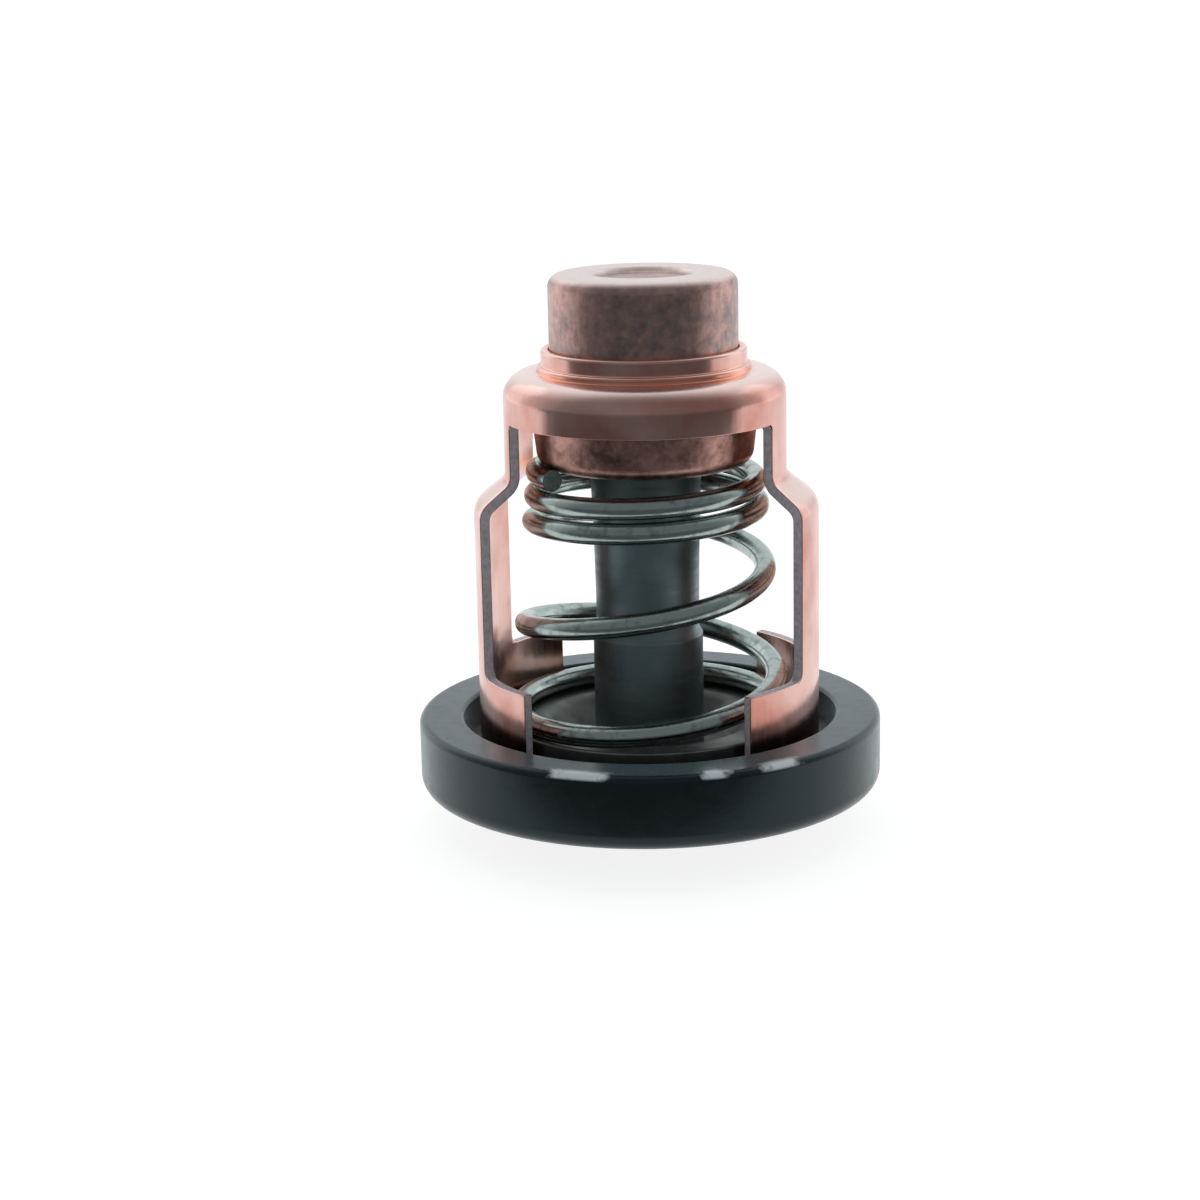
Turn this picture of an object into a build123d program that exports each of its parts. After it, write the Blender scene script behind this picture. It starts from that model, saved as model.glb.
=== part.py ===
from build123d import *
import os
from math import cos, pi, radians, sin, sqrt

os.makedirs("parts", exist_ok=True)

# A wax-pellet coolant valve, standing on its bridge with the sensing bulb up.
# Millimetres, +Z up along the axis of the valve, origin at the centre of the foot it stands on.
# The two legs of the cage lie on the X axis.

# Rubber sealing ring
ring_wall = 2.1
ring_groove_depth = 1.9
ring_height = 6.6
ring_lower_edge = 1.5
ring_upper_edge = 0.6
ring_bore_edge = 0.4

# Seat flange, a plate with a valve seat drawn up round its opening
flange_thickness = 1.2
seat_bore_radius = 12.0
seat_overlap = 1.4
seat_wall = 1.1
seat_height = 0.95
seat_bend = 0.9

# Bridge, a dished strap that carries the piston below the flange
bridge_drop = 3.4
bridge_sheet = 1.2
bridge_lip_width = 3.3
bridge_dish_run = 3.6
bridge_hub_margin = 0.8
bridge_arm_width = 9.0
bridge_arm_blend = 2.0
bridge_bend = 1.0
boss_wall = 1.4
boss_height = 2.0

# Cage, a stamped and drawn copper frame with two legs
cage_sheet = 0.9
cage_foot_height = 7.0
cage_foot_half_angle = 50.5
cage_leg_half_angle = 23.5
cage_joggle_height = 22.7
cage_joggle_rise = 2.2
cage_joggle_bend = 1.6
cage_shoulder_height = 33.2
cage_shoulder_roll = 1.7
cage_window_below_shoulder = 4.1
cage_window_corner = 0.5
cage_foot_corner = 0.9
collar_height = 2.0
collar_wall = 0.7
collar_bead = 0.35
collar_bead_height = 0.6

# Tabs of the cage, passed through the flange and turned over below it
tab_angle = 36.0
tab_half_angle = 7.0
tab_sheet = 0.9
tab_reach = 1.2

# Spring cup, hung under the shoulder of the cage to seat the spring
cup_sheet = 0.8
cup_depth = 7.3
cup_taper = 0.6
cup_rim_roll = 1.3
cup_mouth_height = 1.5
cup_mouth_bend = 2.0
cup_hole_gap = 0.7

# Wax element: copper cup, wax, rubber and plated guide
bulb_radius = 8.2
bulb_wall = 0.8
bulb_top_height = 8.4
bulb_top_edge = 1.1
bulb_dimple_radius = 4.6
bulb_dimple_depth = 0.5
bulb_crimp_edge = 0.7
diaphragm_thickness = 1.5
diaphragm_nose_radius = 3.6
diaphragm_nose_depth = 2.4
guide_flange_thickness = 1.4
guide_top_radius = 4.9
guide_waist_radius = 4.55
guide_foot_radius = 4.85
guide_foot_height = 10.2
guide_neck_radius = 3.9
guide_neck_length = 1.8
guide_edge = 0.4
piston_radius = 2.0
piston_chamfer = 0.15
plug_length = 6.8
backing_thickness = 1.0

# Valve disc and the clip that holds it on the guide
valve_sheet = 1.0
valve_bowl_run = 2.8
valve_web_drop = 2.5
valve_bend = 0.7
valve_lip = 0.5
clip_thickness = 0.8
clip_depth = 0.45
clip_reach = 1.4
clip_mouth_angle = 70.0

# Return spring, conical: a flat coil at the foot, open coils, then close coils up to the head
wire_radius = 0.95
spring_foot_inset = 1.8
spring_head_overhang = 0.15
spring_turns = 4.64
spring_start_angle = 348.0
spring_coil_gap = 0.2
spring_open_from = 0.57
spring_open_full = 0.93
spring_close_from = 2.3
spring_close_full = 2.72
spring_head_turns = 0.14
spring_steps_per_turn = 12

# Clearances
running_gap = 0.05
seat_gap = 0.05
fit_gap = 0.03
nest_gap = 0.08
tab_ring_gap = 0.2
valve_cage_gap = 0.8
valve_bowl_gap = 1.6
cup_bulb_gap = 1.0
neck_spring_gap = 0.9
bulb_lip_gap = 0.7

# Radii that follow from the seat outwards, and from the bulb outwards
valve_radius = seat_bore_radius + seat_overlap
cage_foot_radius = valve_radius + valve_cage_gap + cage_sheet
ring_bore_radius = cage_foot_radius + tab_reach + tab_ring_gap
flange_radius = ring_bore_radius + ring_groove_depth
ring_radius = flange_radius + ring_wall
valve_bowl_radius = seat_bore_radius - valve_bowl_gap
valve_web_radius = valve_bowl_radius - valve_bowl_run
bridge_lip_inner_radius = ring_bore_radius - bridge_lip_width
bridge_flat_radius = bridge_lip_inner_radius - bridge_dish_run
bridge_hub_radius = bridge_flat_radius + bridge_hub_margin
bulb_inner_radius = bulb_radius - bulb_wall
bulb_lip_radius = guide_top_radius + bulb_lip_gap
collar_bore_radius = bulb_radius + running_gap
cup_mouth_radius = bulb_radius + cup_bulb_gap + cup_sheet
cup_rim_radius = cup_mouth_radius - cup_taper
spring_foot_radius = valve_radius - spring_foot_inset
spring_head_radius = cup_rim_radius + spring_head_overhang
spring_closed_lead = 2 * wire_radius + spring_coil_gap
cage_neck_radius = spring_head_radius + wire_radius + neck_spring_gap + cage_sheet

# Heights that follow from the sizes above
ring_bottom = bridge_drop
ring_top = ring_bottom + ring_height
flange_bottom = ring_bottom + (ring_height - flange_thickness) / 2
flange_top = flange_bottom + flange_thickness
seat_top = flange_top + seat_height
valve_under = seat_top + seat_gap
valve_top = valve_under + valve_sheet
web_under = valve_under - valve_web_drop
web_top = web_under + valve_sheet
foot_top = flange_top + cage_foot_height
shoulder_top = flange_top + cage_shoulder_height
ceiling = shoulder_top - cage_sheet
collar_top = shoulder_top + collar_height
bulb_top = shoulder_top + bulb_top_height
cup_bottom = ceiling - cup_depth
bulb_bottom = cup_bottom + cup_sheet + seat_gap
guide_flange_bottom = bulb_bottom + bulb_wall
guide_top = guide_flange_bottom + guide_flange_thickness
diaphragm_top = guide_top + diaphragm_thickness
piston_bottom = bridge_sheet
plug_top = guide_top - diaphragm_nose_depth
plug_bottom = plug_top - plug_length
piston_top = plug_bottom - backing_thickness


def spin(section, arc=360.0):
    """Turn a section, drawn as radius and height, about the axis of the valve."""
    return revolve(Plane.XZ * section, Axis.Z, arc)


def outline(*corners):
    """A closed section through corners given as radius and height."""
    return make_face(Polyline(*corners, close=True))


def band(inner_radius, outer_radius, bottom, top):
    """A rectangular section between two radii and two heights."""
    return outline((inner_radius, bottom), (outer_radius, bottom), (outer_radius, top), (inner_radius, top))


def rounded(section, radius, *corners):
    """Round the corners of a section that lie nearest to the given points."""
    for corner in corners:
        vertex = section.vertices().sort_by_distance(Vector(*corner))[0]
        section = fillet(vertex, radius)
    return section


def sheet(corners, bends, thickness):
    """A strip of sheet metal along the middle line of its bends."""
    return trace(FilletPolyline(*corners, radius=bends), thickness)


def sector(section, middle_angle, half_angle):
    """Turn a section through an arc that is centred on an angle."""
    return Rot(0, 0, middle_angle - half_angle) * spin(section, 2 * half_angle)


def make_sealing_ring():
    section = band(ring_bore_radius, ring_radius, ring_bottom, ring_top)
    section = rounded(section, ring_lower_edge, (ring_radius, ring_bottom))
    section = rounded(section, ring_upper_edge, (ring_radius, ring_top))
    section = rounded(section, ring_bore_edge, (ring_bore_radius, ring_bottom), (ring_bore_radius, ring_top))
    groove = band(0, flange_radius + fit_gap, flange_bottom, flange_top)
    return spin(section - groove)


def make_seat_flange():
    seat_radius = seat_bore_radius + seat_wall
    section = outline(
        (seat_bore_radius, flange_bottom),
        (flange_radius, flange_bottom),
        (flange_radius, flange_top),
        (seat_radius, flange_top),
        (seat_radius, seat_top),
        (seat_bore_radius, seat_top),
    )
    section = rounded(section, seat_bend, (seat_bore_radius, flange_bottom))
    section = rounded(section, seat_bend / 2, (seat_radius, flange_top))
    flange = spin(section)
    inner_radius = cage_foot_radius - tab_sheet - running_gap
    slot = band(inner_radius, cage_foot_radius + running_gap, flange_bottom, flange_top)
    slot_half_angle = tab_half_angle + running_gap / cage_foot_radius * 180 / pi
    for angle in tab_angles():
        flange -= sector(slot, angle, slot_half_angle)
    return flange


def tab_angles():
    """Two tabs on each foot of the cage."""
    return [leg + side * tab_angle for leg in (0, 180) for side in (-1, 1)]


def make_bridge_strap():
    hub_middle = bridge_sheet / 2
    lip_middle = flange_bottom - bridge_sheet / 2
    lip_radius = ring_bore_radius - nest_gap
    corners = [(0, hub_middle), (bridge_flat_radius, hub_middle),
               (bridge_lip_inner_radius, lip_middle), (lip_radius, lip_middle)]
    dish = spin(sheet(corners, [bridge_bend, bridge_bend], bridge_sheet))
    plan = Circle(bridge_hub_radius) + Rectangle(2 * lip_radius, bridge_arm_width)
    inner_corners = plan.vertices().group_by(SortBy.DISTANCE)[0]
    plan = fillet(inner_corners, bridge_arm_blend)
    strap = dish & extrude(plan, flange_bottom)
    boss_radius = piston_radius + fit_gap + boss_wall
    boss = spin(band(0, boss_radius, bridge_sheet / 2, bridge_sheet + boss_height))
    socket = spin(band(0, piston_radius + fit_gap, piston_bottom, bridge_sheet + boss_height))
    return strap + boss - socket


def cage_shell_section():
    """The section of the drawn cage, from the foot up to the collar round the bulb."""
    half = cage_sheet / 2
    foot = cage_foot_radius - half
    neck = cage_neck_radius - half
    joggle = flange_top + cage_joggle_height - cage_joggle_rise / 2
    plateau = shoulder_top - half
    corners = [(foot, flange_top), (foot, joggle), (neck, joggle + cage_joggle_rise),
               (neck, plateau), (collar_bore_radius, plateau)]
    bends = [cage_joggle_bend, cage_joggle_bend, cage_shoulder_roll]
    shell = sheet(corners, bends, cage_sheet)
    bead = band(collar_bore_radius, collar_bore_radius + collar_wall + collar_bead,
                ceiling, shoulder_top + collar_bead_height)
    collar = band(collar_bore_radius, collar_bore_radius + collar_wall, ceiling, collar_top)
    return shell + bead + collar


def soften_window(window, height, radius):
    """Round the two corners of a window cutter that lie at one height."""
    spokes = window.edges().filter_by(GeomType.LINE)
    corners = spokes.filter_by_position(Axis.Z, height - nest_gap, height + nest_gap)
    return fillet(corners, radius)


def make_cage_frame():
    cage = spin(cage_shell_section())
    reach = max(cage_foot_radius, cage_neck_radius) + cage_sheet
    core = bulb_radius
    window_top = shoulder_top - cage_window_below_shoulder
    window_half_angle = 90 - cage_leg_half_angle
    gap_half_angle = 90 - cage_foot_half_angle
    for side in (-90, 90):
        window = sector(band(core, reach, foot_top, window_top), side, window_half_angle)
        window = soften_window(window, window_top, cage_window_corner)
        window = soften_window(window, foot_top, cage_foot_corner)
        gap = sector(band(core, reach, flange_top, foot_top + cage_foot_corner), side, gap_half_angle)
        cage -= window
        cage -= gap
    for angle in tab_angles():
        cage += make_tab(angle)
    return cage


def make_tab(angle):
    """A tab that passes through the flange and is turned outwards below it."""
    inner_radius = cage_foot_radius - tab_sheet
    stem = band(inner_radius, cage_foot_radius, flange_bottom - tab_sheet, flange_top + tab_sheet)
    hook = band(inner_radius, cage_foot_radius + tab_reach, flange_bottom - tab_sheet, flange_bottom)
    return sector(stem + hook, angle, tab_half_angle)


def make_spring_cup():
    half = cup_sheet / 2
    hole_radius = guide_top_radius + cup_hole_gap
    mouth = cup_mouth_radius - half
    corners = [(hole_radius, cup_bottom + half), (cup_rim_radius - half, cup_bottom + half),
               (mouth, ceiling - cup_mouth_height), (mouth, ceiling)]
    return spin(sheet(corners, [cup_rim_roll - half, cup_mouth_bend], cup_sheet))


def make_wax_cup():
    hollow_top = bulb_top - bulb_dimple_depth - bulb_wall
    section = band(0, bulb_radius, bulb_bottom, bulb_top)
    section = rounded(section, bulb_top_edge, (bulb_radius, bulb_top))
    section = rounded(section, bulb_crimp_edge, (bulb_radius, bulb_bottom))
    section -= band(0, bulb_inner_radius, guide_flange_bottom, hollow_top)
    section -= band(0, bulb_lip_radius, bulb_bottom, guide_flange_bottom)
    section -= band(0, bulb_dimple_radius, bulb_top - bulb_dimple_depth, bulb_top)
    section = rounded(section, bulb_dimple_depth / 2, (bulb_dimple_radius, bulb_top))
    return spin(section)


def make_wax_charge():
    top = bulb_top - bulb_dimple_depth - bulb_wall
    return spin(band(0, bulb_inner_radius - fit_gap, diaphragm_top, top))


def make_diaphragm():
    section = outline(
        (0, plug_top),
        (piston_radius, plug_top),
        (diaphragm_nose_radius, guide_top),
        (bulb_inner_radius - fit_gap, guide_top),
        (bulb_inner_radius - fit_gap, diaphragm_top),
        (0, diaphragm_top),
    )
    return spin(section)


def make_guide_sleeve():
    neck_bottom = web_top - guide_neck_length - valve_sheet
    foot_end = web_top + guide_foot_height
    waist = Vector(guide_waist_radius, foot_end + 2 * guide_edge)
    shank_top = Vector(guide_top_radius, cup_bottom)
    flange_edge = bulb_inner_radius - fit_gap
    bore = piston_radius + running_gap
    side = Polyline(
        (bore, neck_bottom),
        (guide_neck_radius, neck_bottom),
        (guide_neck_radius, web_top),
        (guide_foot_radius, web_top),
        (guide_foot_radius, foot_end),
        waist,
    )
    top = Polyline(
        shank_top,
        (guide_top_radius, guide_flange_bottom),
        (flange_edge, guide_flange_bottom),
        (flange_edge, guide_top),
        (diaphragm_nose_radius + fit_gap, guide_top),
        (bore, plug_top),
        (bore, neck_bottom),
    )
    flare = TangentArc(waist, shank_top, tangent=(0, 1))
    section = make_face(side + flare + top)
    groove = band(guide_neck_radius - clip_depth, guide_foot_radius, web_under - clip_thickness, web_under)
    return spin(section - groove)


def make_piston_pin():
    pin = make_rod(piston_radius, piston_bottom, piston_top)
    return chamfer(pin.edges().filter_by(GeomType.CIRCLE), piston_chamfer)


def make_rod(radius, bottom, top):
    return spin(band(0, radius, bottom, top))


def make_valve_disc():
    half = valve_sheet / 2
    hole_radius = guide_neck_radius + fit_gap
    corners = [(hole_radius, web_under + half), (valve_web_radius, web_under + half),
               (valve_bowl_radius - valve_sheet, valve_under + half), (valve_radius, valve_under + half)]
    web_bend = min(valve_bend, valve_web_radius - hole_radius)
    section = sheet(corners, [web_bend, valve_bend], valve_sheet)
    section += band(valve_radius - valve_sheet / 2, valve_radius, valve_under, valve_top + valve_lip)
    section = rounded(section, valve_sheet / 3, (valve_radius, valve_under))
    return spin(section)


def make_retaining_clip():
    inner_radius = guide_neck_radius - clip_depth + fit_gap
    section = band(inner_radius, guide_neck_radius + clip_reach, web_under - clip_thickness, web_under)
    return sector(section, 90, 180 - clip_mouth_angle / 2)


def ramp(turn, start, end):
    """Rise smoothly from 0 to 1 between two turns."""
    share = min(max((turn - start) / (end - start), 0), 1)
    return share * share * (3 - 2 * share)


def raised_share(turn):
    """The share of the lead that the wire has left the flat foot coil with."""
    return ramp(turn, spring_open_from, spring_open_full)


def closed_lead(turn):
    flattening = ramp(turn, spring_turns - spring_head_turns, spring_turns)
    return spring_closed_lead * raised_share(turn) * (1 - flattening)


def open_share(turn):
    return raised_share(turn) * (1 - ramp(turn, spring_close_from, spring_close_full))


def spring_heights():
    """The height of the wire's middle at each step: a flat foot, close head coils, and open coils between."""
    foot = valve_top + wire_radius + seat_gap
    roll_radius = cup_rim_radius - cup_rim_roll
    roll_height = cup_bottom + cup_rim_roll
    nest = cup_rim_roll + wire_radius + nest_gap
    head = roll_height - sqrt(nest ** 2 - (spring_head_radius - roll_radius) ** 2)
    steps = round(spring_turns * spring_steps_per_turn)
    step = spring_turns / steps
    middles = [(index + 0.5) * step for index in range(steps)]
    closed_rise = sum(closed_lead(turn) for turn in middles) * step
    open_lead = (head - foot - closed_rise) / (sum(open_share(turn) for turn in middles) * step)
    heights = [foot]
    for turn in middles:
        heights.append(heights[-1] + (closed_lead(turn) + open_lead * open_share(turn)) * step)
    return heights


def make_return_spring():
    heights = spring_heights()
    rise = heights[-1] - heights[0]
    points = []
    for index, height in enumerate(heights):
        angle = radians(spring_start_angle + index / (len(heights) - 1) * spring_turns * 360)
        share = (height - heights[0]) / rise
        radius = spring_foot_radius + (spring_head_radius - spring_foot_radius) * share
        points.append((radius * cos(angle), radius * sin(angle), height))
    path = Spline(*points)
    wire = Plane(path @ 0, z_dir=path % 0) * Circle(wire_radius)
    return sweep(wire, path)


nodes = {
    "sealing_ring": make_sealing_ring(),
    "seat_flange": make_seat_flange(),
    "bridge_strap": make_bridge_strap(),
    "piston_pin": make_piston_pin(),
    "backing_disc": make_rod(piston_radius, piston_top, plug_bottom),
    "rubber_plug": make_rod(piston_radius, plug_bottom, plug_top),
    "cage_frame": make_cage_frame(),
    "spring_cup": make_spring_cup(),
    "return_spring": make_return_spring(),
    "wax_cup": make_wax_cup(),
    "wax_charge": make_wax_charge(),
    "diaphragm": make_diaphragm(),
    "guide_sleeve": make_guide_sleeve(),
    "valve_disc": make_valve_disc(),
    "retaining_clip": make_retaining_clip(),
}

for name, solid in nodes.items():
    export_step(solid, f"parts/{name}.step")
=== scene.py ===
from math import ceil, cos, pi, radians, sin, tan

import bmesh
import bpy
from bpy.props import FloatProperty, FloatVectorProperty, IntProperty, PointerProperty
from bpy.types import Operator, Panel, PropertyGroup
from mathutils import Matrix, Vector


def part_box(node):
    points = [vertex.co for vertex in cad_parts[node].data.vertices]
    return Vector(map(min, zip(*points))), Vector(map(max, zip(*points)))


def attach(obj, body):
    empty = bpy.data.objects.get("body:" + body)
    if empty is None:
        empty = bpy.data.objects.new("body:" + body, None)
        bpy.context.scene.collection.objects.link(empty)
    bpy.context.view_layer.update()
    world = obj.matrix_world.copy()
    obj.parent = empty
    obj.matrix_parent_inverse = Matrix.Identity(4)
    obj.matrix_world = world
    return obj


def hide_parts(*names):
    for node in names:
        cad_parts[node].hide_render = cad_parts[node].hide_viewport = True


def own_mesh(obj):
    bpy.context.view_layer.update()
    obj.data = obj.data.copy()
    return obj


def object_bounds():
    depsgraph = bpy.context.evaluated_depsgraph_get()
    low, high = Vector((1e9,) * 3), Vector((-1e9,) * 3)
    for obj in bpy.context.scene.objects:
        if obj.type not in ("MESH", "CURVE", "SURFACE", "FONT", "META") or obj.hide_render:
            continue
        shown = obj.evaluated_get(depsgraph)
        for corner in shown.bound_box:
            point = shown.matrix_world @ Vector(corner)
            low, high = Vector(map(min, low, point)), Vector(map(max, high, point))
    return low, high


bl_info = {
    "name": "Wax-Pellet Coolant Valve",
    "version": (1, 0, 0),
    "blender": (4, 5, 0),
    "location": "View3D > Sidebar > Coolant Valve",
    "description": "Dresses the packed coolant valve in finished meshes and materials",
    "category": "Object",
}

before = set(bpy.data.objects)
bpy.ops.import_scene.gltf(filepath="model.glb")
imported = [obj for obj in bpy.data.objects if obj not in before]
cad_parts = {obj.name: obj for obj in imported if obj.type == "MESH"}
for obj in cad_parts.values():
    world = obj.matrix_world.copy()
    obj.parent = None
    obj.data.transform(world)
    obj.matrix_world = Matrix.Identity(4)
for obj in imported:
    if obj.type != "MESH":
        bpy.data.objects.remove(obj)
cad_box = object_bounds()

MM = 0.001
HOUSING = "housing"
VALVE_UNIT = "valve_unit"

# Smoothness of turned, rolled and cut forms
TURN_SEGMENTS = 192
ARC_STEP = radians(9)
COLUMN_STEP = radians(2)
CORNER_STEPS = 6
# Edges that bend more than this count as sharp
SHARP_ANGLE = radians(50)
# Metres or radians below this count as nothing
TINY = 1e-6
# Cosines of the angles from straight ahead between which the tent's cloth gives way to the open front
CLOTH_FADES = -0.62
CLOTH_ENDS = 0.38

ring_low, ring_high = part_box("sealing_ring")
flange_low, flange_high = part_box("seat_flange")
cage_low, cage_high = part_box("cage_frame")
cup_low, cup_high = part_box("spring_cup")
bulb_low, bulb_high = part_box("wax_cup")
guide_low, guide_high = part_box("guide_sleeve")
valve_low, valve_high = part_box("valve_disc")
spring_low, spring_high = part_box("return_spring")


def linear(hex_colour):
    """Turn an sRGB hex colour into linear red, green, blue and alpha."""
    shares = [int(hex_colour[start:start + 2], 16) / 255 for start in (1, 3, 5)]
    curve = [s / 12.92 if s <= 0.04045 else ((s + 0.055) / 1.055) ** 2.4 for s in shares]
    return (*curve, 1.0)


def size(name, description, millimetres):
    """A length property, written in millimetres."""
    return FloatProperty(
        name=name, description=description, default=millimetres * MM, min=0.0, precision=5, unit="LENGTH"
    )


def angle(name, description, degrees):
    """An angle property, written in degrees."""
    return FloatProperty(name=name, description=description, default=radians(degrees), subtype="ANGLE")


def colour(name, description, hex_colour):
    """A colour property, written as an sRGB hex value."""
    return FloatVectorProperty(
        name=name, description=description, size=4, min=0.0, max=1.0, subtype="COLOR",
        default=linear(hex_colour),
    )


class RingSizes(PropertyGroup):
    bore_radius: size("Bore radius", "Inner radius of the rubber ring", 16.5)
    lower_edge: size("Lower edge", "Rounding of the outer edge on the lower side", 1.5)
    upper_edge: size("Upper edge", "Rounding of the outer edge on the upper side", 0.6)
    bore_edge: size("Bore edge", "Rounding of the two edges of the bore", 0.4)
    groove_gap: size("Groove gap", "Room round the flange inside the groove", 0.03)
    flange_thickness: size("Flange thickness", "Thickness of the plate that the groove grips", 1.2)
    # These three places, their reaches and the pale colour below are painted highlights on the upper edge
    left_glint: angle("Left scuff", "Where the left scuff lies on the upper edge", 258.0)
    middle_glint: angle("Front scuff", "Where the middle scuff lies on the upper edge", 291.0)
    right_glint: angle("Right scuff", "Where the right scuff lies on the upper edge", 308.0)
    left_reach: size("Left reach", "How far the left scuff spreads", 3.2)
    front_reach: size("Front reach", "How far the middle scuff spreads", 1.6)
    right_reach: size("Right reach", "How far the right scuff spreads", 2.4)
    rubber: colour("Rubber", "Moulded black rubber", "#161A1C")
    painted_glint: colour("Scuff", "Rubbed marks on the upper edge", "#F2F7FA")


class CageSizes(PropertyGroup):
    sheet: size("Sheet", "Thickness of the copper sheet", 0.9)
    cut_edge: size("Cut edge", "Rounding left on the sheared edges", 0.08)
    foot_height: size("Foot height", "Height of the feet above the flange", 7.0)
    foot_half_angle: angle("Foot half angle", "Half of the arc that each foot spans", 50.5)
    leg_half_angle: angle("Leg half angle", "Half of the arc that each leg spans", 23.5)
    joggle_height: size("Joggle height", "Middle of the joggle above the flange", 22.7)
    joggle_rise: size("Joggle rise", "Height over which the leg steps inwards", 2.2)
    joggle_bend: size("Joggle bend", "Middle radius of the two bends of the joggle", 1.6)
    shoulder_height: size("Shoulder height", "Top of the shoulder above the flange", 33.2)
    shoulder_roll: size("Shoulder roll", "Middle radius of the rolled shoulder", 1.7)
    window_below_shoulder: size("Window top", "Drop from the shoulder to the top of the windows", 4.1)
    window_corner: size("Window corner", "Rounding of the upper corners of the windows", 0.5)
    foot_corner: size("Foot corner", "Rounding between leg and foot", 0.9)
    collar_gap: size("Collar gap", "Running gap between collar and bulb", 0.05)
    collar_wall: size("Collar wall", "Wall of the collar round the bulb", 0.7)
    bead: size("Bead", "How far the bead at the collar's base stands out", 0.35)
    bead_height: size("Bead height", "Height of the bead above the shoulder", 0.6)
    tab_angle: angle("Tab angle", "Angle from the leg to each tab", 36.0)
    tab_half_angle: angle("Tab half angle", "Half of the arc that each tab spans", 7.0)
    tab_reach: size("Tab reach", "How far the tabs are turned out below the flange", 1.2)
    tab_bend: size("Tab bend", "Middle radius of the turned tabs", 0.5)
    # The bright tone is the copper's own, and also a painted highlight on faces that look up
    bright: colour("Bright copper", "Drawn copper where it is rubbed bright", "#F5D9D1")
    warm: colour("Warm copper", "Drawn copper with a thin warm film", "#C78678")
    # A painted reflection: this colour is painted into the cage's creases, where copper mirrors itself
    painted_crease_glow: colour("Deep copper", "Copper that glows in its own creases", "#FA8E5E")
    sheared: colour("Sheared copper", "Grey-mauve copper on the cut edges", "#E4D9DF")


class CupSizes(PropertyGroup):
    sheet: size("Sheet", "Thickness of the cup", 0.8)
    rim_radius: size("Rim radius", "Outer radius of the cup's lower rim", 9.4)
    rim_roll: size("Rim roll", "Outer rounding of the lower rim", 1.3)
    mouth_height: size("Mouth height", "Straight part at the mouth", 1.5)
    mouth_bend: size("Mouth bend", "Bend below the mouth", 2.0)
    hole_radius: size("Hole radius", "Hole for the guide sleeve", 5.6)
    edge: size("Edge", "Rounding of the cut edges", 0.12)
    tarnish: colour("Tarnished copper", "Copper browned by heat", "#75594F")
    rubbed: colour("Rubbed copper", "Lighter copper where the tarnish is rubbed", "#CB9C92")


class ElementSizes(PropertyGroup):
    wall: size("Bulb wall", "Wall of the copper bulb", 0.8)
    top_edge: size("Top edge", "Rounding of the bulb's top", 1.1)
    crimp_edge: size("Crimp edge", "Rounding where the bulb is crimped in", 0.7)
    dimple_radius: size("Dimple radius", "Radius of the shallow dish in the top", 4.6)
    dimple_depth: size("Dimple depth", "Depth of the shallow dish in the top", 0.5)
    lip_radius: size("Lip radius", "Inner radius of the crimped lip", 5.6)
    guide_flange: size("Guide flange", "Thickness of the guide's flange", 1.4)
    guide_top_radius: size("Guide top", "Radius of the guide below the bulb", 4.9)
    guide_waist_radius: size("Guide waist", "Smallest radius of the guide", 4.55)
    guide_foot_radius: size("Guide foot", "Radius of the guide's foot", 4.85)
    guide_foot_height: size("Guide foot height", "Height of the guide's foot above the valve", 10.2)
    guide_neck_radius: size("Guide neck", "Radius of the neck that carries the valve", 3.9)
    guide_edge: size("Guide edge", "Rounding of the guide's edges", 0.25)
    guide_bore_radius: size("Guide bore", "Bore that the piston runs in", 2.05)
    nose_radius: size("Nose radius", "Mouth of the bore where the rubber enters", 3.63)
    nose_depth: size("Nose depth", "Depth of that mouth", 2.4)
    clip_thickness: size("Clip thickness", "Width of the clip's groove", 0.8)
    clip_depth: size("Clip depth", "Depth of the clip's groove", 0.45)
    tarnish: colour("Tarnished copper", "Copper dulled to a mauve brown", "#8D7E7D")
    rubbed: colour("Rubbed copper", "Lighter copper where the tarnish is rubbed", "#CFA49B")
    # A painted highlight: the bulb's top is painted in this lighter copper
    painted_top_highlight: colour("Worn copper", "Bright copper on the handled top of the bulb", "#EBDAD5")
    nickel: colour("Nickel plate", "Dull grey plate on the guide", "#97A7AC")


class ValveSizes(PropertyGroup):
    sheet: size("Sheet", "Thickness of the valve disc", 1.0)
    web_drop: size("Web drop", "Depth of the bowl", 2.5)
    web_radius: size("Web radius", "Radius of the flat in the bowl", 7.6)
    bowl_radius: size("Bowl radius", "Radius at the top of the bowl", 9.4)
    hole_radius: size("Hole radius", "Hole for the guide's neck", 3.93)
    bend: size("Bend", "Middle radius of the bends", 0.7)
    lip: size("Lip", "Height of the raised lip", 0.5)
    lip_wall: size("Lip wall", "Wall of the raised lip", 0.5)
    edge: size("Edge", "Rounding of the edges", 0.15)
    coating: colour("Dark coating", "Dark coat on the pressed steel", "#7F847F")
    plate: colour("Dull plate", "Dull plated steel of flange and bridge", "#7D7F80")


class SpringSizes(PropertyGroup):
    wire_radius: size("Wire radius", "Radius of the spring wire", 0.95)
    foot_radius: size("Foot radius", "Radius of the lowest coil", 11.6)
    head_radius: size("Head radius", "Radius of the uppermost coil", 9.55)
    turns: FloatProperty(name="Turns", description="Turns of the spring from end to end", default=4.64)
    start_angle: angle("Start angle", "Where the lower end of the wire lies", 348.0)
    coil_gap: size("Coil gap", "Gap between the close coils at the head", 0.2)
    open_from: FloatProperty(name="Open from", description="Turn that leaves the flat foot", default=0.57)
    open_full: FloatProperty(name="Open full", description="Turn where coils are fully open", default=0.93)
    close_from: FloatProperty(name="Close from", description="Turn where coils start to close", default=2.3)
    close_full: FloatProperty(name="Close full", description="Turn where coils are close", default=2.72)
    head_turns: FloatProperty(name="Head turns", description="Turns that flatten at the head", default=0.14)
    steps: IntProperty(name="Steps", description="Points along the wire", default=420, min=50)
    sides: IntProperty(name="Sides", description="Points round the wire", default=28, min=8)
    steel: colour("Spring steel", "Bright wound wire", "#A6B2AE")


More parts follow.
